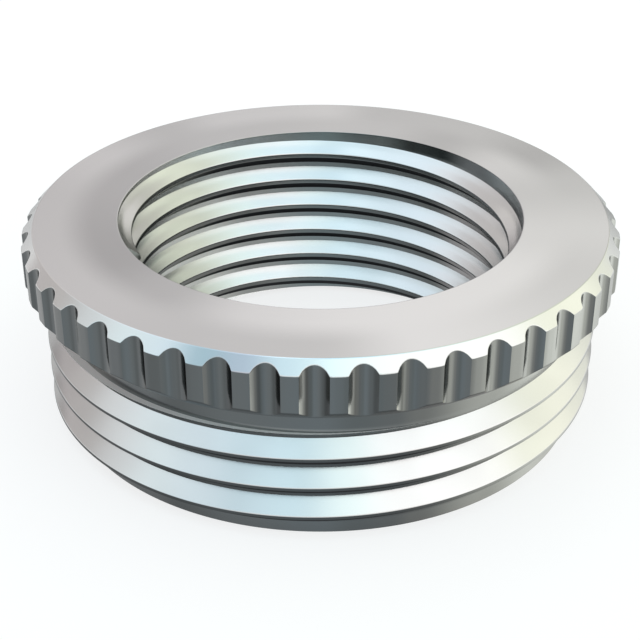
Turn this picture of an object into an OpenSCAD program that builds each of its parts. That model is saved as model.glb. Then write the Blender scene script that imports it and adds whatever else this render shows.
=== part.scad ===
// Thread reducer: a turned brass ring with a fluted collar, an outside thread
// that screws into the larger hole and an inside thread that takes the smaller fitting.
// Origin: centre of the bottom end. +Z runs up the axis, out through the collar.

/* [Body] */
// Height from the bottom end to the top face
total_h = 10; // [9:0.1:14]
// Height of the plain neck between the collar and the outside thread
neck_h = 1.5; // [0.8:0.1:2.5]

/* [Collar] */
// Diameter over the collar
collar_d = 30; // [29.6:0.1:36]
// Thickness of the collar
collar_t = 3; // [2:0.1:4]
// Bevel round the top edge, the same across and down
top_bevel = 0.6; // [0.2:0.05:0.8]
// Bevel round the under edge, the same across and down
under_bevel = 0.55; // [0.1:0.05:0.6]

/* [Grip flutes] */
// Number of flutes round the collar
flute_count = 45; // [12:1:48]
// Radius of the round bottom of a flute
flute_r = 0.78; // [0.5:0.02:0.9]
// Depth of a flute below the collar's surface
flute_depth = 0.38; // [0.2:0.02:0.5]
// Angle of the first flute about the axis, from +X
flute_angle = -91; // [-180:1:180]

/* [Threads] */
// Pitch of both threads
pitch = 1.5875; // [1.5:0.0125:1.75]
// Angle of a thread flank from the plane across the axis
flank_angle = 40; // [30:1:42]
// Steps in one turn of a thread
steps = 72; // [36:12:96]

/* [Outside thread] */
// Diameter over the outside thread's crests
outer_d = 28.3; // [27:0.1:28.8]
// Depth of the outside thread
outer_depth = 0.76; // [0.5:0.02:0.8]
// Width of the flat on the outside thread's crests
outer_flat = 0.155; // [0.1:0.005:0.2]
// Angle about the axis where the outside thread ends at the bottom, from +X
outer_end = 135; // [0:1:360]

/* [Inside thread] */
// Diameter of the bore, which is the bottom of the inside thread
bore_d = 20.4; // [16:0.1:21.5]
// Depth of the inside thread
inner_depth = 0.65; // [0.4:0.02:0.7]
// Width of the flat on the inside thread's crests
inner_flat = 0.23; // [0.15:0.01:0.3]
// Angle about the axis where the inside thread starts at the top, from +X
inner_start = 204; // [0:1:360]

/* [Hidden] */
$fn = 96;
// Tiny distance that cutters run past what they cut
past = 0.5;
// How far a ridge is sunk into the wall that it stands on
sink = 0.02;
// Plain land left between a thread's end and the face next to it
land = 0.02;
// Rise of a flank for each unit across
flank_rise = tan(flank_angle);
// A wound bar is a polygon seen from its end. This is the radius of the middle of
// its flats, as a share of the radius of its corners
flat_share = cos(180 / steps);
// Radius of its corners, as a share of the mean of the two
corner_share = 2 / (1 + flat_share);
collar_r = collar_d / 2;
outer_r = outer_d / 2;
core_r = outer_r - outer_depth;
bore_r = bore_d / 2;
inner_r = bore_r - inner_depth;
collar_z = total_h - collar_t;
thread_top = collar_z - neck_h;

// A bar of trapezoid section wound up the axis as a right-hand screw. The corners of its
// inner side lie at r_in and it is w_in high there; those of its outer side lie at r_out.
module wound_bar(r_in, w_in, r_out, w_out, angle, z_mid, turns) {
    count = ceil(turns * steps);
    section = [[r_in, -w_in / 2], [r_out, -w_out / 2], [r_out, w_out / 2], [r_in, w_in / 2]];
    points = [
        for (i = [0:count])
            let (part = turns * i / count, a = angle + 360 * part)
            for (p = section)
                [p[0] * cos(a), p[0] * sin(a), z_mid + part * pitch + p[1]]
    ];
    sides = [
        for (i = [0:count - 1])
            for (j = [0:3])
                let (a = 4 * i + j, b = 4 * i + (j + 1) % 4)
                j % 2 == 0
                    ? [[a, b, b + 4], [a, b + 4, a + 4]]
                    : [[a, b, b + 4, a + 4]]
    ];
    faces = concat([[3, 2, 1, 0]], [for (s = sides) each s],
        [[4 * count, 4 * count + 1, 4 * count + 2, 4 * count + 3]]);
    polyhedron(points, faces);
}

module turned_body() {
    rotate_extrude()
        polygon([
            [bore_r, 0],
            [core_r, 0],
            [core_r, collar_z],
            [collar_r - under_bevel, collar_z],
            [collar_r, collar_z + under_bevel],
            [collar_r, total_h - top_bevel],
            [collar_r - top_bevel, total_h],
            [bore_r, total_h]
        ]);
}

// Upright round cutters standing half in the collar's rim
module flutes() {
    for (i = [0:flute_count - 1])
        rotate([0, 0, flute_angle + i * 360 / flute_count])
            translate([collar_r - flute_depth + flute_r, 0, collar_z - past])
                cylinder(h = collar_t + 2 * past, r = flute_r);
}

module outside_thread() {
    foot_r = core_r - sink;
    tip_r = outer_r * corner_share;
    foot_w = outer_flat + 2 * (outer_r - foot_r) * flank_rise;
    tip_w = outer_flat - 2 * (tip_r - outer_r) * flank_rise;
    low = land + foot_w / 2;
    turns = (thread_top + foot_w / 2 + past - low) / pitch;
    intersection() {
        wound_bar(foot_r, foot_w, tip_r, tip_w, outer_end, low, turns);
        cylinder(h = thread_top, r = outer_r);
    }
}

module inside_thread() {
    foot_r = (bore_r + sink) / flat_share;
    tip_r = inner_r * corner_share;
    foot_w = inner_flat + 2 * (foot_r - inner_r) * flank_rise;
    tip_w = inner_flat + 2 * (tip_r - inner_r) * flank_rise;
    low = -foot_w / 2 - past;
    high = total_h - land - foot_w / 2;
    turns = (high - low) / pitch;
    intersection() {
        wound_bar(tip_r, tip_w, foot_r, foot_w, inner_start - 360 * turns, low, turns);
        difference() {
            cylinder(h = total_h, r = bore_r + past);
            translate([0, 0, -past])
                cylinder(h = total_h + 2 * past, r = inner_r);
        }
    }
}

module reducer_ring() {
    color([0.76, 0.75, 0.74]) {
        difference() {
            turned_body();
            flutes();
        }
        outside_thread();
        inside_thread();
    }
}

reducer_ring();
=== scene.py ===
import math

import bmesh
import bpy
from mathutils import Matrix, Vector


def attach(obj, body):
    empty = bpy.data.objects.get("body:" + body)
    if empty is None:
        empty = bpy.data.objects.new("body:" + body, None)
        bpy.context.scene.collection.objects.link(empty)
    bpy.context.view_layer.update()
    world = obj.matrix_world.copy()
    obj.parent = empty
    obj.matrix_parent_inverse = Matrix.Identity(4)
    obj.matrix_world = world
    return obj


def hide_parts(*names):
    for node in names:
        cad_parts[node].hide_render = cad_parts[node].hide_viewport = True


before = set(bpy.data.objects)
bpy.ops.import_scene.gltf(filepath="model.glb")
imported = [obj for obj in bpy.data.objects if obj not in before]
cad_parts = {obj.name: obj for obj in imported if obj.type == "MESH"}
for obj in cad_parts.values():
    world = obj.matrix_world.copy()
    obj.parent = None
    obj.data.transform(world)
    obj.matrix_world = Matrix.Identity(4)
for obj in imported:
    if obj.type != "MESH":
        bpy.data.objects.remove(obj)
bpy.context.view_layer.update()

# Every size is in millimetres and is turned into metres where a shape is finished.
MM = 0.001

# The ring, with the same sizes as its solid
TOTAL_H = 10.0
COLLAR_T = 3.0
NECK_H = 1.5
COLLAR_R = 15.0
TOP_BEVEL = 0.6
UNDER_BEVEL = 0.55
CORE_R = 13.39
BORE_R = 10.2
FLUTES = 45
FLUTE_R = 0.78
FLUTE_DEPTH = 0.38
FLUTE_ANGLE = math.radians(-91)
PITCH = 1.5875
FLANK_RISE = math.tan(math.radians(40))
OUTER_R = 14.15
OUTER_FLAT = 0.155
OUTER_END = math.radians(135)
INNER_R = 9.55
INNER_FLAT = 0.23
INNER_START = math.radians(204)
SINK = 0.02
LAND = 0.02
PAST = 0.5

# How finely the shapes are drawn
STEPS_ROUND = FLUTES * 16
RIDGE_STEPS = 240
SOFT_EDGE = 0.035
SOFT_SEGMENTS = 2
# A line of points this far from each soft edge keeps the faces beside it flat
HOLD = 0.07
# A side shorter than this has no room for such points
HOLD_ROOM = 3 * HOLD
# Two points nearer than this are one point
MERGE = 1e-5
# Two heights nearer than this are the same height
SAME = 1e-4
# Faces that meet at more than this angle keep a true edge
TRUE_EDGE = math.radians(25)

COLLAR_Z = TOTAL_H - COLLAR_T
THREAD_TOP = COLLAR_Z - NECK_H


def section(bm, outline, soft):
    """A closed outline of (radius, height) standing on +X, with the corners listed in soft rounded a little."""
    corners = [Vector((r, 0, z)) for r, z in outline]
    points, rounded = [], []
    for i, corner in enumerate(corners):
        before, after = corners[i - 1] - corner, corners[(i + 1) % len(corners)] - corner
        if i in soft and before.length > HOLD_ROOM:
            points.append(bm.verts.new(corner + before.normalized() * HOLD))
        points.append(bm.verts.new(corner))
        if i in soft:
            rounded.append(points[-1])
            if after.length > HOLD_ROOM:
                points.append(bm.verts.new(corner + after.normalized() * HOLD))
    bm.faces.new(points)
    bmesh.ops.bevel(bm, geom=rounded, offset=SOFT_EDGE, offset_type="OFFSET", segments=SOFT_SEGMENTS,
                    profile=0.5, affect="VERTICES", material=-1)


def flute_cut(angle):
    """How far the collar's wall lies inside its full radius at this angle about the axis."""
    pitch = 2 * math.pi / FLUTES
    off = (angle - FLUTE_ANGLE + pitch / 2) % pitch - pitch / 2
    centre = COLLAR_R - FLUTE_DEPTH + FLUTE_R
    inside = FLUTE_R ** 2 - (centre * math.sin(off)) ** 2
    if inside <= 0:
        return 0.0
    return max(0.0, COLLAR_R - (centre * math.cos(off) - math.sqrt(inside)))


def turned_body():
    """The turned ring: its section spun once round, then the flutes pressed into the rim."""
    bm = bmesh.new()
    outline = [
        (BORE_R, 0), (CORE_R, 0), (CORE_R, COLLAR_Z), (COLLAR_R - UNDER_BEVEL, COLLAR_Z),
        (COLLAR_R, COLLAR_Z + UNDER_BEVEL), (COLLAR_R, TOTAL_H - TOP_BEVEL),
        (COLLAR_R - TOP_BEVEL, TOTAL_H), (BORE_R, TOTAL_H),
    ]
    section(bm, outline, (0, 1, 3, 4, 5, 6, 7))
    bmesh.ops.delete(bm, geom=bm.faces[:], context="FACES_ONLY")
    bmesh.ops.rotate(bm, verts=bm.verts[:], cent=(0, 0, 0), matrix=Matrix.Rotation(FLUTE_ANGLE, 3, "Z"))
    bmesh.ops.spin(bm, geom=bm.verts[:] + bm.edges[:], cent=(0, 0, 0), axis=(0, 0, 1), angle=2 * math.pi,
                   steps=STEPS_ROUND, use_merge=True)
    bmesh.ops.remove_doubles(bm, verts=bm.verts[:], dist=MERGE)
    low, high = COLLAR_Z + UNDER_BEVEL + HOLD, TOTAL_H - TOP_BEVEL - HOLD
    for v in bm.verts:
        r = math.hypot(v.co.x, v.co.y)
        if r < COLLAR_R - HOLD:
            continue
        cut = flute_cut(math.atan2(v.co.y, v.co.x))
        v.co.x *= (r - cut) / r
        v.co.y *= (r - cut) / r
        # The bevels slope at 45 degrees, so a point on them moves up or down as far as it moves in.
        if v.co.z >= high - SAME:
            v.co.z += cut
        elif v.co.z <= low + SAME:
            v.co.z -= cut
    bmesh.ops.recalc_face_normals(bm, faces=bm.faces[:])
    return bm


def wound_ridge(foot_r, tip_r, tip_flat, angle, low, turns, cut_at, cut_up):
    """A thread's ridge: a trapezoid wound up the axis as a right-hand screw, one end cut level with a face."""
    bm = bmesh.new()
    tip = tip_flat / 2
    foot = tip + abs(tip_r - foot_r) * FLANK_RISE
    section(bm, [(foot_r, low - foot), (tip_r, low - tip), (tip_r, low + tip), (foot_r, low + foot)], (1, 2))
    bmesh.ops.rotate(bm, verts=bm.verts[:], cent=(0, 0, 0), matrix=Matrix.Rotation(angle, 3, "Z"))
    steps = round(RIDGE_STEPS * turns)
    bmesh.ops.spin(bm, geom=bm.faces[:], cent=(0, 0, 0), axis=(0, 0, 1), angle=2 * math.pi * turns,
                   dvec=(0, 0, PITCH * turns / steps), steps=steps)
    whole = bm.verts[:] + bm.edges[:] + bm.faces[:]
    bmesh.ops.bisect_plane(bm, geom=whole, dist=MERGE, plane_co=(0, 0, cut_at), plane_no=(0, 0, cut_up),
                           clear_outer=True)
    rim = [e for e in bm.edges if e.is_boundary]
    bmesh.ops.triangle_fill(bm, edges=rim, use_beauty=True, normal=(0, 0, cut_up))
    bmesh.ops.recalc_face_normals(bm, faces=bm.faces[:])
    return bm


def outside_ridge():
    """The outside thread, from just above the bottom end up into the neck, where it is cut off square."""
    foot_r = CORE_R - SINK
    foot_w = OUTER_FLAT + 2 * (OUTER_R - foot_r) * FLANK_RISE
    low = LAND + foot_w / 2
    turns = (THREAD_TOP + foot_w / 2 + PAST - low) / PITCH
    return wound_ridge(foot_r, OUTER_R, OUTER_FLAT, OUTER_END, low, turns, THREAD_TOP, 1)


def inside_ridge():
    """The inside thread, from below the bottom end, where it is cut off, up to just under the top face."""
    foot_r = BORE_R + SINK
    foot_w = INNER_FLAT + 2 * (foot_r - INNER_R) * FLANK_RISE
    low = -foot_w / 2 - PAST
    turns = (TOTAL_H - LAND - foot_w / 2 - low) / PITCH
    return wound_ridge(foot_r, INNER_R, INNER_FLAT, INNER_START - 2 * math.pi * turns, low, turns, 0, -1)


def finished(name, parts, material):
    """Joins closed shells into one piece in metres, smooth but for its true edges."""
    mesh = bpy.data.meshes.new(name)
    whole = bmesh.new()
    for bm in parts:
        part = bpy.data.meshes.new("part")
        bm.to_mesh(part)
        bm.free()
        whole.from_mesh(part)
        bpy.data.meshes.remove(part)
    bmesh.ops.scale(whole, vec=(MM, MM, MM), verts=whole.verts[:])
    for face in whole.faces:
        face.smooth = True
    whole.to_mesh(mesh)
    whole.free()
    mesh.set_sharp_from_angle(angle=TRUE_EDGE)
    mesh.materials.append(material)
    obj = bpy.data.objects.new(name, mesh)
    bpy.context.scene.collection.objects.link(obj)
    return obj


class Value:
    """A number that varies over a surface: arithmetic on it adds Math nodes."""

    def __init__(self, shop, socket):
        self.shop, self.socket = shop, socket

    def math(self, operation, *others):
        made = self.shop.node("ShaderNodeMath", {"operation": operation}, [self, *others])
        return Value(self.shop, made.outputs[0])

    def __add__(self, other):
        return self.math("ADD", other)

    def __mul__(self, other):
        return self.math("MULTIPLY", other)

    def __sub__(self, other):
        return self.math("SUBTRACT", other)

    def __rsub__(self, other):
        return (self * -1) + other

    def __neg__(self):
        return self * -1

    __radd__ = __add__
    __rmul__ = __mul__


class Shop:
    """Where a material is mixed: its tree, and the few ways used here of adding to it."""

    def __init__(self, owner):
        owner.use_nodes = True
        self.tree = owner.node_tree
        self.tree.nodes.clear()

    def node(self, kind, settings=None, inputs=()):
        made = self.tree.nodes.new(kind)
        for name, setting in (settings or {}).items():
            setattr(made, name, setting)
        pairs = inputs.items() if isinstance(inputs, dict) else enumerate(inputs)
        for place, given in pairs:
            if isinstance(given, Value):
                given = given.socket
            if isinstance(given, bpy.types.NodeSocket):
                self.tree.links.new(given, made.inputs[place])
            else:
                made.inputs[place].default_value = given
        return made

    def parts(self, vector):
        """The three numbers of a vector."""
        made = self.node("ShaderNodeSeparateXYZ", {}, [vector])
        return [Value(self, socket) for socket in made.outputs]

    def noise(self, vector, scale, detail):
        """A soft cloud between 0 and 1."""
        made = self.node("ShaderNodeTexNoise", {}, {"Vector": vector, "Scale": scale, "Detail": detail})
        return Value(self, made.outputs[0])

    def rise(self, value, passage):
        """0 before a passage of (begin, end) and 1 past it, with a soft change between."""
        settings = {"interpolation_type": "SMOOTHSTEP"}
        made = self.node("ShaderNodeMapRange", settings, [value, *passage, 0.0, 1.0])
        return Value(self, made.outputs[0])

    def fall(self, value, passage):
        """1 before a passage of (begin, end) and 0 past it."""
        return 1 - self.rise(value, passage)

    def blend(self, how_far, one, other, kind="MIX"):
        """A colour between two, or one laid over the other."""
        settings = {"data_type": "RGBA", "blend_type": kind}
        return self.node("ShaderNodeMix", settings, {0: how_far, 6: one, 7: other}).outputs[2]

    def ramp(self, value, stops):
        """A colour looked up along a list of (place, colour)."""
        made = self.node("ShaderNodeValToRGB", {}, [value])
        made.color_ramp.interpolation = "EASE"
        marks = made.color_ramp.elements
        while len(marks) < len(stops):
            marks.new(0.5)
        for mark, (place, colour) in zip(marks, stops):
            mark.position = place
            mark.color = (*colour, 1)
        return made.outputs[0]


def grey(stops):
    """The same list of stops with each tone as a colour."""
    return [(place, (tone, tone, tone)) for place, tone in stops]


# Tones of the top face and its bevel, which are painted reflections of the studio in the plating. Round the axis, 0
# and 1 are the back, 0.25 the left, 0.5 the front and 0.75 the right.
INNER_FACE_REFLECTIONS = grey([
    (0.0, 0.70), (0.083, 0.73), (0.194, 0.64), (0.333, 0.55), (0.389, 0.63), (0.458, 0.85), (0.639, 0.84),
    (0.708, 0.77), (0.778, 0.68), (0.833, 0.75), (0.894, 0.58), (0.944, 0.66), (1.0, 0.70)])
OUTER_FACE_REFLECTIONS = grey([
    (0.0, 0.80), (0.07, 0.85), (0.11, 0.73), (0.167, 0.85), (0.236, 0.77), (0.361, 0.77), (0.444, 0.71),
    (0.5, 0.66), (0.55, 0.83), (0.667, 0.70), (0.722, 0.76), (0.79, 0.64), (0.833, 0.54), (0.889, 0.64),
    (0.958, 0.64), (1.0, 0.80)])
# The bevel's painted reflections hold painted dark patches in front and on the right.
TOP_BEVEL_REFLECTIONS = [
    (0.0, (0.8, 0.79, 0.78)), (0.25, (0.88, 0.87, 0.87)), (0.286, (0.81, 0.8, 0.8)), (0.308, (0.9, 0.89, 0.88)),
    (0.342, (0.86, 0.85, 0.84)), (0.375, (0.78, 0.79, 0.79)), (0.403, (0.81, 0.82, 0.82)),
    (0.422, (0.78, 0.79, 0.8)), (0.444, (0.5, 0.57, 0.6)), (0.464, (0.61, 0.6, 0.65)), (0.483, (0.78, 0.79, 0.8)),
    (0.508, (0.8, 0.83, 0.84)), (0.542, (0.78, 0.78, 0.77)), (0.667, (0.77, 0.77, 0.75)),
    (0.69, (0.84, 0.84, 0.82)), (0.71, (0.84, 0.84, 0.82)), (0.73, (0.76, 0.76, 0.74)), (0.753, (0.42, 0.42, 0.4)),
    (0.8, (0.77, 0.77, 0.76)), (1.0, (0.8, 0.79, 0.78))]
# The two ends of the faint clouds on a flank
FLANK_CLOUDS = [(0.35, (0.74, 0.73, 0.725)), (0.65, (0.79, 0.78, 0.775))]
# Tones of upright walls, which are painted reflections: darkest facing the front or the back, lighter facing left
# and lightest facing right, with a painted dark patch on the bore's lip at its back right. Along these, 0 faces
# left, 0.5 to the front or the back, and 1 faces right.
OUTSIDE_WALL_REFLECTIONS = [
    (0.0, (0.4, 0.4, 0.4)), (0.06, (0.33, 0.33, 0.33)), (0.11, (0.2, 0.205, 0.205)), (0.2, (0.135, 0.143, 0.147)),
    (0.26, (0.1, 0.108, 0.11)), (0.36, (0.12, 0.132, 0.136)), (0.5, (0.12, 0.138, 0.147)),
    (0.56, (0.103, 0.117, 0.121)), (0.62, (0.113, 0.122, 0.124)), (0.66, (0.15, 0.155, 0.15)),
    (0.78, (0.36, 0.365, 0.335)), (0.89, (0.68, 0.69, 0.64)), (1.0, (0.8, 0.81, 0.77))]
# The bore's walls and lip carry painted reflections, with a painted dark patch on the lip.
BORE_WALL_REFLECTIONS = [
    (0.0, (0.6, 0.58, 0.58)), (0.1, (0.34, 0.33, 0.33)), (0.19, (0.12, 0.13, 0.13)), (0.3, (0.15, 0.17, 0.175)),
    (0.5, (0.185, 0.225, 0.235)), (0.7, (0.29, 0.3, 0.29)), (0.82, (0.5, 0.51, 0.48)), (0.95, (0.62, 0.63, 0.59))]
BORE_LIP_REFLECTIONS = [
    (0.0, (0.9, 0.9, 0.9)), (0.08, (0.32, 0.31, 0.315)), (0.17, (0.035, 0.04, 0.04)), (0.24, (0.06, 0.065, 0.065)),
    (0.34, (0.28, 0.32, 0.33)), (0.5, (0.27, 0.35, 0.36)), (0.7, (0.42, 0.45, 0.44)), (0.85, (0.72, 0.74, 0.7)),
    (1.0, (0.75, 0.76, 0.72))]
# Shares that a flute's wall keeps of its tone, from the side that faces left round to the one that faces right:
# below 1 a painted shade where the flute hides its wall, above 1 a painted highlight
FLUTE_SHADE_AND_HIGHLIGHT = grey([
    (0.07, 0.7), (0.14, 0.45), (0.25, 0.75), (0.4, 1.0), (0.5, 1.0), (0.65, 0.8), (0.72, 0.5), (0.82, 0.7),
    (0.9, 1.3), (0.94, 1.6)])

WHITE = (1, 1, 1, 1)
# Painted shade on the crests, under the brim, on the threads' undersides and at the flanks' ends, and painted light
# on the undersides in the bore that face right
CREST_SHADE = (0.03, 0.033, 0.035, 1)
BRIM_SHADE = (0.02, 0.02, 0.02, 1)
UNDER_SHADE = (0.03, 0.032, 0.035, 1)
UNDER_LIGHT = (0.3, 0.31, 0.28, 1)
END_SHADE = (0.2, 0.2, 0.2, 1)
# Painted reflections: the ledge over the thread pale and rose to the left, the neck lighter at its left, its right
# and its foot, and a flute's side lighter where it turns right
LEDGE_PALE_REFLECTION = (0.95, 0.95, 0.94, 1)
LEDGE_ROSE_REFLECTION = (1.0, 0.89, 0.85, 1)
NECK_LEFT_REFLECTION = (0.62, 0.60, 0.59, 1)
NECK_RIGHT_REFLECTION = (0.9, 0.9, 0.84, 1)
NECK_FOOT_REFLECTION = (0.45, 0.47, 0.46, 1)
CHEEK_HIGHLIGHT = (0.55, 0.55, 0.53, 1)

# Soft passages from one tone to the next, each with its begin and its end.
# In a normal's upward part: from a wall to a slope, and from a slope to a flat face
SLOPE = (0.3, 0.6)
FLAT = (0.9, 0.97)
# In a normal's downward part, its part to the right and its part to the back
BRIM_TURN = (0.05, 0.2)
LIT_UNDER = (0.35, 0.6)
SHADED_TIP = (0.1, 0.6)
TURNED_RIGHT = (0.1, 0.4)
TURNED_BACK = (0.0, 0.35)
# In how far a wall turns from the ring's own radius
CHEEK_TURN = (0.45, 0.75)
# In millimetres from the axis
TIP = (9.62, 9.75)
NEAR_ROOT = (9.8, 10.1)
ROOT = (BORE_R + 0.05, BORE_R + 0.2)
FACE_MIDDLE = (11.3, 13.3)
RIM = (OUTER_R + 0.05, OUTER_R + 0.2)
# In millimetres from the middle to one side
LEFT_END = (12.4, 13.4)
RIGHT_END = (13.3, 13.8)
MIDDLE_TO_END = (4.0, 10.0)
NECK_LEFT_END = (9.0, 11.0)
NECK_RIGHT_END = (9.5, 11.5)
# In millimetres to the right of the middle, and for a flute's outer side in that times the wall's turn
FLUTE_OUTER_SIDE = (0.0, 4.0)
CHEEKS_FROM = (-3.0, 3.0)
NECK_FOOT_FADE = (-3.0, 4.0)
# In millimetres up from the bottom end
THREAD_START = (0.55, 0.75)
THREAD_END = (THREAD_TOP - 0.2, THREAD_TOP - 0.05)
NECK_START = (THREAD_TOP - 0.05, THREAD_TOP)
NECK_FOOT_END = (THREAD_TOP + 0.05, THREAD_TOP + 0.25)
LEDGE_END = (THREAD_TOP + 0.5, THREAD_TOP + 1)
BRIM_END = (COLLAR_Z + 0.1, COLLAR_Z + UNDER_BEVEL)
CHEEK_START = (7.9, 8.4)
FIRST_TURN = (8.5, 9.2)
LIP = (9.3, 9.5)

# How much of each painted shade or painted reflection shows at the most
END_SHARE = 0.4
NECK_SHARE = 0.6
CHEEK_SHARE = 0.7
BRIM_SHARE = 0.5
# The same for three painted marks that fade or gain towards the right, and by how much they do: a painted
# reflection on the neck's foot, and painted shade on the outside and the inside crests
NECK_FOOT_SHARE, NECK_FOOT_LOSS = 0.5, 0.4
CREST_SHARE, CREST_LOSS = 0.55, 0.5
TIP_SHARE, TIP_GAIN = 0.35, 0.4

# A wall's painted reflection follows the way it faces by this much, and its place from left to right by the rest
FACING_SHARE = 0.8
# A slope's gloss leans out to this share of its upward part, as on polished crests
FLANK_GLOSS = 0.76
BORE_GLOSS = 0.7
# What the bore's lean gains towards its left and right ends, loses at a ridge's root, and gains where it faces away
SIDES_LEAN = 0.8
ROOT_LEAN = 0.05
AWAY_LEAN = 1.2
# Roughness of the plating, and what the bore and the undersides add to it
ROUGHNESS = 0.2
BORE_ROUGH = 0.05
UNDER_ROUGH = 0.5
SPECULAR_TINT = (0.6, 0.6, 0.6, 1)
# The slow clouds on a flank and the fine grain everywhere: how many to a metre, and how many finer layers
CLOUD_SCALE, CLOUD_DETAIL = 300.0, 1.0
GRAIN_SCALE, GRAIN_DETAIL = 5000.0, 2.0
# The grain's depth in metres, and how much of it shows
GRAIN_DEPTH = 0.00002
GRAIN_STRENGTH = 0.04


class Spot:
    """Where a point of the ring lies, in millimetres, which way it faces and which part of the ring it is on."""

    def __init__(self, shop):
        here = shop.node("ShaderNodeTexCoord")
        self.normal, self.place = here.outputs["Normal"], here.outputs["Object"]
        self.across, self.away, self.up = shop.parts(self.normal)
        self.side, self.depth, self.height = (value * (1 / MM) for value in shop.parts(self.place))
        self.radius = (self.side * self.side + self.depth * self.depth).math("SQRT")
        self.round_axis = self.side.math("ARCTAN2", -self.depth) * (0.5 / math.pi) + 0.5

        self.inside = shop.fall(self.radius, ROOT)
        self.rim = shop.rise(self.radius, RIM)
        self.neck = shop.rise(self.height, NECK_START) * (1 - self.rim)
        self.ledge = shop.rise(self.up, FLAT) * shop.fall(self.height, LEDGE_END)
        self.under = shop.rise(-self.up, SLOPE) * (1 - self.rim)


def bright_tone(shop, spot):
    """Everything that looks up, in painted reflections: the top face, its bevel, the flanks with a painted shade at
    their ends, and the ledge over the thread.
    """
    inner_face, outer_face = shop.ramp(spot.round_axis, INNER_FACE_REFLECTIONS), shop.ramp(spot.round_axis, OUTER_FACE_REFLECTIONS)
    face = shop.blend(shop.rise(spot.radius, FACE_MIDDLE), inner_face, outer_face)
    flank = shop.ramp(shop.noise(spot.place, CLOUD_SCALE, CLOUD_DETAIL), FLANK_CLOUDS)
    # The flanks' ends at the far left and right get a painted shade.
    shaded_ends = shop.rise(-spot.side, LEFT_END) + shop.rise(spot.side, RIGHT_END)
    flank = shop.blend(shaded_ends * END_SHARE, flank, END_SHADE)
    slope = shop.blend(spot.rim, flank, shop.ramp(spot.round_axis, TOP_BEVEL_REFLECTIONS))
    tone = shop.blend(shop.rise(spot.up, FLAT) * (1 - spot.ledge), slope, face)
    # The ledge is painted pale as a reflection, rose towards the left.
    ledge = shop.blend(shop.rise(-spot.side, MIDDLE_TO_END), LEDGE_PALE_REFLECTION, LEDGE_ROSE_REFLECTION)
    return shop.blend(spot.ledge, tone, ledge)


def rim_tone(shop, spot, wall):
    """The collar's rim over the plain wall's painted reflection: painted shade and highlights in its flutes, a
    painted highlight where a flute's side turns right, and a painted shade line under the brim.
    """
    # How far a wall turns from the ring's own radius: a flute's two sides turn left and right of it.
    tilt = (spot.away * spot.side - spot.across * spot.depth).math("DIVIDE", spot.radius)
    # A flute's walls get painted shade and painted highlights, but not the side that faces out from the middle.
    outer_side = shop.rise(spot.side * tilt * -1, FLUTE_OUTER_SIDE)
    flute = shop.blend(outer_side, shop.ramp(tilt * 0.5 + 0.5, FLUTE_SHADE_AND_HIGHLIGHT), WHITE)
    wall = shop.blend(spot.rim, wall, flute, "MULTIPLY")
    # A flute's side that turns far, high on the rim and right of the middle, gets a painted highlight.
    cheek_highlight = spot.rim * shop.rise(tilt, CHEEK_TURN)
    cheek_highlight = cheek_highlight * shop.rise(spot.height, CHEEK_START) * shop.rise(spot.side, CHEEKS_FROM)
    wall = shop.blend(cheek_highlight * CHEEK_SHARE, wall, CHEEK_HIGHLIGHT)
    # A painted shade line where the brim turns under.
    brim = shop.rise(-spot.up, BRIM_TURN) * shop.rise(spot.height, BRIM_END)
    return shop.blend(brim * BRIM_SHARE, wall, BRIM_SHADE)


def outside_wall_tone(shop, spot):
    """Upright walls outside, in painted reflections: the neck, lighter at its ends and its foot, the rim, and the
    outside thread's crests in painted shade.
    """
    facing = spot.side * ((1 - FACING_SHARE) / COLLAR_R) + spot.across * FACING_SHARE
    wall = shop.ramp(facing * 0.5 + 0.5, OUTSIDE_WALL_REFLECTIONS)
    # Painted reflections lighten the neck towards its left and right ends.
    wall = shop.blend(spot.neck * shop.rise(-spot.side, NECK_LEFT_END) * NECK_SHARE, wall, NECK_LEFT_REFLECTION)
    wall = shop.blend(spot.neck * shop.rise(spot.side, NECK_RIGHT_END) * NECK_SHARE, wall, NECK_RIGHT_REFLECTION)
    wall = rim_tone(shop, spot, wall)
    # A painted reflection lightens the neck's foot, less towards the right.
    neck_foot_reflection = spot.neck * shop.fall(spot.height, NECK_FOOT_END)
    neck_foot_reflection = neck_foot_reflection * (NECK_FOOT_SHARE - shop.rise(spot.side, NECK_FOOT_FADE) * NECK_FOOT_LOSS)
    wall = shop.blend(neck_foot_reflection, wall, NECK_FOOT_REFLECTION)
    # The outside crests get a painted shade, less towards the right.
    on_thread = shop.rise(spot.height, THREAD_START) * shop.fall(spot.height, THREAD_END)
    crest = shop.blend(CREST_SHARE - shop.rise(spot.side, MIDDLE_TO_END) * CREST_LOSS, wall, CREST_SHADE)
    return shop.blend(on_thread * (1 - spot.inside), wall, crest)


def bore_wall_tone(shop, spot):
    """Upright walls inside, in painted reflections: the groove's bottom, the crests darker in painted shade, and
    the plain lip at the top.
    """
    facing = spot.across * 0.5 + 0.5
    # The inside crests get a painted shade, more where they face right.
    crest = shop.fall(spot.radius, TIP) * (shop.rise(spot.across, SHADED_TIP) * TIP_GAIN + TIP_SHARE)
    bore = shop.blend(crest, shop.ramp(facing, BORE_WALL_REFLECTIONS), CREST_SHADE)
    return shop.blend(shop.rise(spot.height, LIP), bore, shop.ramp(facing, BORE_LIP_REFLECTIONS))


def plating_and_painted_light(shop, spot):
    """The whole ring's plating with its painted reflections and shade: walls, then all that looks up, then the
    undersides of the threads in painted shade.
    """
    walls = shop.blend(spot.inside, outside_wall_tone(shop, spot), bore_wall_tone(shop, spot))
    tone = shop.blend(shop.rise(spot.up, SLOPE), walls, bright_tone(shop, spot))
    under = shop.blend(spot.inside * shop.rise(spot.across, LIT_UNDER), UNDER_SHADE, UNDER_LIGHT)
    return shop.blend(spot.under, tone, under)


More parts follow.
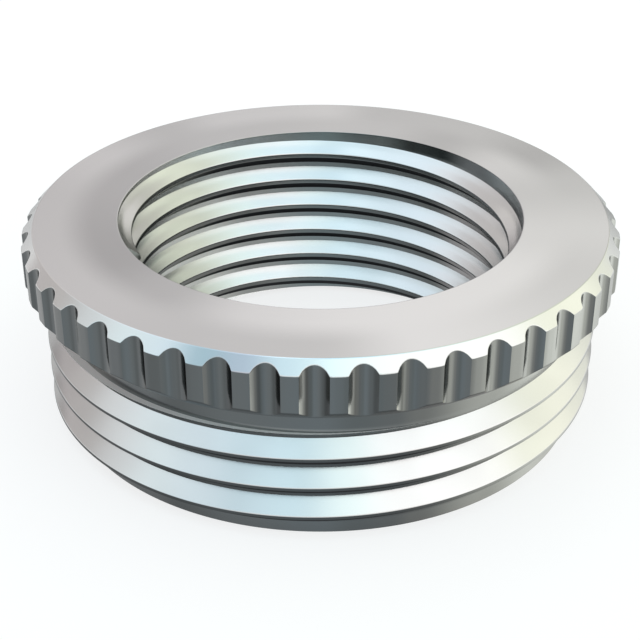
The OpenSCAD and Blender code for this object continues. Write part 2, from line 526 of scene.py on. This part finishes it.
def polish(shop, spot):
    """The normal that the gloss follows: the slopes lean out a little, and a fine grain covers all."""
    near_root = shop.rise(spot.radius, NEAR_ROOT)
    lean = BORE_GLOSS + spot.across * spot.across * (1 - near_root) * SIDES_LEAN - near_root * ROOT_LEAN
    facing_away = shop.rise(spot.away, TURNED_BACK) * shop.rise(spot.across, TURNED_RIGHT)
    lean = lean + facing_away * shop.fall(spot.height, FIRST_TURN) * AWAY_LEAN
    lean = FLANK_GLOSS + spot.inside * (lean - FLANK_GLOSS)
    stretch = shop.node("ShaderNodeCombineXYZ", {}, [1.0, 1.0, lean])
    leant = shop.node("ShaderNodeVectorMath", {"operation": "MULTIPLY"}, [spot.normal, stretch.outputs[0]])
    leant = shop.node("ShaderNodeVectorMath", {"operation": "NORMALIZE"}, [leant.outputs[0]])
    bump = shop.node("ShaderNodeBump", {}, {
        "Strength": GRAIN_STRENGTH, "Distance": GRAIN_DEPTH,
        "Height": shop.noise(spot.place, GRAIN_SCALE, GRAIN_DETAIL), "Normal": leant.outputs[0]})
    return bump.outputs[0]


def nickel():
    """Bright nickel over turned brass. The upright walls are painted smoke grey as dark reflections, the flanks,
    bevels and faces painted bright as reflections.
    """
    made = bpy.data.materials.new("bright_nickel")
    shop = Shop(made)
    spot = Spot(shop)
    shader = shop.node("ShaderNodeBsdfPrincipled", {}, {
        "Base Color": plating_and_painted_light(shop, spot),
        # The ledge is matt, so it shows its pale painted reflection.
        "Metallic": 1 - spot.ledge,
        "Roughness": ROUGHNESS + spot.inside * BORE_ROUGH + spot.under * UNDER_ROUGH,
        "Specular Tint": SPECULAR_TINT,
        "Normal": polish(shop, spot)})
    shop.node("ShaderNodeOutputMaterial", {}, [shader.outputs[0]])
    return made


# The floor's own tone under the studio's light, and the glow that keeps it white in a picture
FLOOR_MATT = (0.29, 0.29, 0.29, 1)
FLOOR_GLOW = 0.76
# Half the floor's width, in metres
FLOOR_HALF = 1.5
# The camera: its lens and sensor in millimetres, its clipping and its place in metres
LENS = 79.85
SENSOR = 36
CLIP_START = 0.005
CAMERA_AT = (0, -0.06506, 0.041065)
CAMERA_TURN = (math.radians(60.018), 0, math.radians(0.0265))


def pale_floor():
    """White laminate that keeps a soft shadow."""
    made = bpy.data.materials.new("pale_floor")
    shop = Shop(made)
    path = shop.node("ShaderNodeLightPath")
    seen = Value(shop, path.outputs["Is Camera Ray"]) + Value(shop, path.outputs["Is Glossy Ray"])
    seen = seen + Value(shop, path.outputs["Is Transmission Ray"])
    matt = shop.node("ShaderNodeBsdfDiffuse", {}, {"Color": FLOOR_MATT})
    glow = shop.node("ShaderNodeEmission", {}, {"Color": WHITE, "Strength": seen * FLOOR_GLOW})
    both = shop.node("ShaderNodeAddShader", {}, [matt.outputs[0], glow.outputs[0]])
    shop.node("ShaderNodeOutputMaterial", {}, [both.outputs[0]])
    return made


# The light round the ring, from 0 at the back by the left, the front at 0.5 and the right, to 1 at the back
LOW_LIGHT = [
    (0.1, (0.70, 0.67, 0.67)), (0.15, (0.55, 0.52, 0.52)), (0.2, (0.54, 0.52, 0.51)), (0.24, (0.78, 0.81, 0.82)),
    (0.29, (0.85, 0.97, 1.0)), (0.34, (0.82, 0.97, 1.05)), (0.4, (0.66, 0.86, 0.95)), (0.46, (0.72, 0.97, 1.07)),
    (0.53, (1.12, 1.33, 1.32)), (0.58, (1.35, 1.36, 1.35)), (0.7, (1.34, 1.35, 1.33)), (0.755, (1.14, 1.17, 1.0)),
    (0.8, (1.26, 1.28, 1.1)), (0.85, (1.04, 1.07, 0.94)), (0.9, (0.95, 0.96, 0.87))]
HIGH_LIGHT = [
    (0.09, (0.9, 0.88, 0.85)), (0.13, (0.62, 0.6, 0.59)), (0.17, (0.72, 0.7, 0.7)), (0.23, (0.96, 1.04, 1.1)),
    (0.28, (0.94, 1.12, 1.24)), (0.33, (0.93, 1.12, 1.24)), (0.38, (0.98, 1.2, 1.32)), (0.435, (1.3, 1.6, 1.74)),
    (0.5, (0.67, 0.99, 1.2)), (0.565, (0.7, 1.03, 1.2)), (0.63, (0.84, 1.13, 1.24)), (0.68, (0.98, 1.24, 1.24)),
    (0.73, (0.92, 1.06, 0.96)), (0.78, (0.78, 0.83, 0.69)), (0.825, (0.94, 1.02, 0.84)), (0.87, (0.7, 0.72, 0.63)),
    (0.92, (0.5, 0.49, 0.45))]
# The light behind the ring, from left to right
REAR_LIGHT = [
    (0.0, (0.74, 0.71, 0.71)), (0.3, (0.78, 0.76, 0.76)), (0.6, (0.95, 0.93, 0.92)), (1.0, (0.95, 0.94, 0.91))]
# A neutral patch ahead, and how much of it covers the cool light there
AHEAD_TONE = (0.92, 0.91, 0.9, 1)
AHEAD_SHARE = 0.8
# Passages between these lights, in the parts of a direction
AHEAD = (0.62, 0.78)
AHEAD_LOW = (0.0, 0.15)
AHEAD_HIGH = (0.52, 0.64)
LOW_TO_HIGH = (0.46, 0.58)
BEHIND = (0.81, 0.85)
HIGH_BEHIND = (0.95, 1.05)


def studio_light():
    """A wide soft tent: cool in front, warm white on the right, rose grey on the left and behind."""
    made = bpy.data.worlds.new("studio")
    shop = Shop(made)
    right, back, up = shop.parts(shop.node("ShaderNodeTexCoord").outputs["Generated"])
    turn = right.math("ARCTAN2", -back) * (0.5 / math.pi) + 0.5
    ahead = shop.rise(-back, AHEAD) * shop.rise(up, AHEAD_LOW) * shop.fall(up, AHEAD_HIGH)
    low = shop.blend(ahead * AHEAD_SHARE, shop.ramp(turn, LOW_LIGHT), AHEAD_TONE)
    high = shop.ramp(turn, HIGH_LIGHT)
    colour = shop.blend(shop.rise(up + back * 0.5, LOW_TO_HIGH), low, high)
    rear = shop.rise(back, BEHIND)
    rear = rear + (1 - rear) * shop.rise(up * 0.6 + back, HIGH_BEHIND)
    colour = shop.blend(rear, colour, shop.ramp(right * 2.5 + 0.5, REAR_LIGHT))
    light = shop.node("ShaderNodeBackground", {}, {"Color": colour, "Strength": 1.0})
    shop.node("ShaderNodeOutputWorld", {}, [light.outputs[0]])
    bpy.context.scene.world = made


ring = finished("nickel_ring", [turned_body(), outside_ridge(), inside_ridge()], nickel())
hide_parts("reducer_ring")
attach(ring, "root")

floor_bm = bmesh.new()
bmesh.ops.create_grid(floor_bm, x_segments=1, y_segments=1, size=FLOOR_HALF)
floor_mesh = bpy.data.meshes.new("floor")
floor_bm.to_mesh(floor_mesh)
floor_bm.free()
floor = bpy.data.objects.new("floor", floor_mesh)
bpy.context.scene.collection.objects.link(floor)
floor_mesh.materials.append(pale_floor())

camera_data = bpy.data.cameras.new("camera")
camera_data.lens = LENS
camera_data.sensor_width = SENSOR
camera_data.clip_start = CLIP_START
camera = bpy.data.objects.new("camera", camera_data)
camera.location = CAMERA_AT
camera.rotation_euler = CAMERA_TURN
bpy.context.scene.collection.objects.link(camera)
bpy.context.scene.camera = camera

studio_light()
bpy.context.scene.view_settings.view_transform = "Standard"
